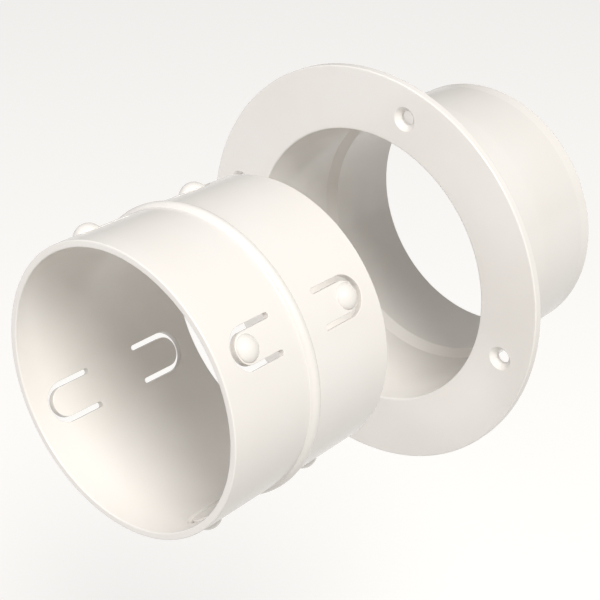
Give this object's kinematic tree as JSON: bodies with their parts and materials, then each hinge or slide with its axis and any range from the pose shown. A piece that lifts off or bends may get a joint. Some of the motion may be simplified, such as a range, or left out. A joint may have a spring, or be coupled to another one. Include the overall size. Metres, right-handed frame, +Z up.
{
  "type": "dryer vent connector",
  "caption": "Plastic dryer vent connector: a round screw-on wall flange with a tapered socket collar, and a loose beaded sleeve with domed snap tongues.",
  "frame": {"origin": "centre of the wall flange's back face, on the duct's axis", "axes": "+Y along the duct, from the room into the wall; +Z up; +X to the right as seen from the room"},
  "size_m": [0.1463, 0.1913, 0.1462],
  "materials": {
    "white_plastic": "glossy warm white moulded plastic"
  },
  "bodies": {
    "root": {"wall_flange": "white_plastic", "duct_sleeve": "white_plastic"}
  },
  "joints": []
}
